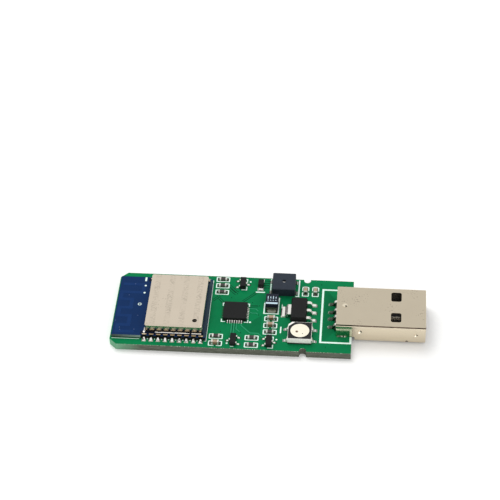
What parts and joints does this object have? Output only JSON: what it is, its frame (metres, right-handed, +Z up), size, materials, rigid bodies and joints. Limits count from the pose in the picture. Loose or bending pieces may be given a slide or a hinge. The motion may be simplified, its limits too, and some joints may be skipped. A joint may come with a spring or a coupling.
{
  "type": "wifi deauthentication detector",
  "caption": "Bare circuit-board stick with a USB plug at one end, a radio module under a metal can at the other, and a buzzer, regulator, serial chip and colour light between them.",
  "frame": {"origin": "middle of the object's outer box, on the surface that the board's underside lies on", "axes": "+X along the stick towards the plug's mouth, +Y across it towards the buzzer's edge, +Z up through the fitted side of the board"},
  "size_m": [0.0666, 0.022, 0.005],
  "materials": {
    "board_laminate": "glass-cloth laminate under a glossy green solder mask",
    "module_laminate": "thin laminate under a dark blue solder mask",
    "pressed_metal": "satin nickel-silver sheet",
    "plug_sheet": "nickel-plated steel sheet, satin",
    "chip_resin": "moulded black epoxy",
    "buzzer_resin": "moulded blue-black plastic",
    "tantalum_resin": "moulded dark blue-black resin",
    "insulator": "moulded black plastic",
    "light_plastic": "white moulded housing with a black printed face",
    "light_resin": "cream diffusing resin",
    "tinned_lead": "tin-plated copper strip",
    "solder": "bright tin solder",
    "gold_contact": "thin gold plate on copper alloy",
    "copper_wire": "enamelled copper winding",
    "magnet": "sintered magnet",
    "soft_iron": "plain soft iron",
    "resistor_ceramic": "alumina block under a black glass coat",
    "capacitor_ceramic": "fired tan ceramic",
    "crystal_can": "plated metal lid on a ceramic base"
  },
  "bodies": {
    "root": {"buzzer_base": "buzzer_resin", "buzzer_case": "buzzer_resin", "buzzer_coil": "copper_wire", "buzzer_diaphragm": "soft_iron", "buzzer_magnet": "magnet", "buzzer_terminals": "tinned_lead", "buzzer_yoke": "soft_iron", "capacitor_1": "capacitor_ceramic", "capacitor_2": "capacitor_ceramic", "capacitor_3": "capacitor_ceramic", "capacitor_4": "capacitor_ceramic", "capacitor_5": "capacitor_ceramic", "capacitor_ends": "tinned_lead", "chip_solder_joints": "solder", "crystal": "crystal_can", "diode_body": "chip_resin", "diode_leads": "tinned_lead", "lead_solder_joints": "solder", "light_chips": "chip_resin", "light_filling": "light_resin", "light_housing": "light_plastic", "light_leads": "tinned_lead", "main_board": "board_laminate", "memory_chip": "chip_resin", "module_board": "module_laminate", "module_solder_joints": "solder", "radio_chip": "chip_resin", "regulator_body": "chip_resin", "regulator_leads": "tinned_lead", "regulator_tab": "tinned_lead", "resistor_1": "resistor_ceramic", "resistor_2": "resistor_ceramic", "resistor_3": "resistor_ceramic", "resistor_4": "resistor_ceramic", "resistor_5": "resistor_ceramic", "resistor_6": "resistor_ceramic", "resistor_7": "resistor_ceramic", "resistor_ends": "tinned_lead", "serial_chip": "chip_resin", "serial_chip_terminals": "solder", "shield_can": "pressed_metal", "tail_solder_joints": "solder", "tantalum_body": "tantalum_resin", "tantalum_terminals": "tinned_lead", "transistor_1_body": "chip_resin", "transistor_1_leads": "tinned_lead", "transistor_2_body": "chip_resin", "transistor_2_leads": "tinned_lead", "transistor_3_body": "chip_resin", "transistor_3_leads": "tinned_lead", "usb_contact_1": "gold_contact", "usb_contact_2": "gold_contact", "usb_contact_3": "gold_contact", "usb_contact_4": "gold_contact", "usb_insulator": "insulator", "usb_leg_solder": "solder", "usb_shell": "plug_sheet"}
  },
  "joints": []
}
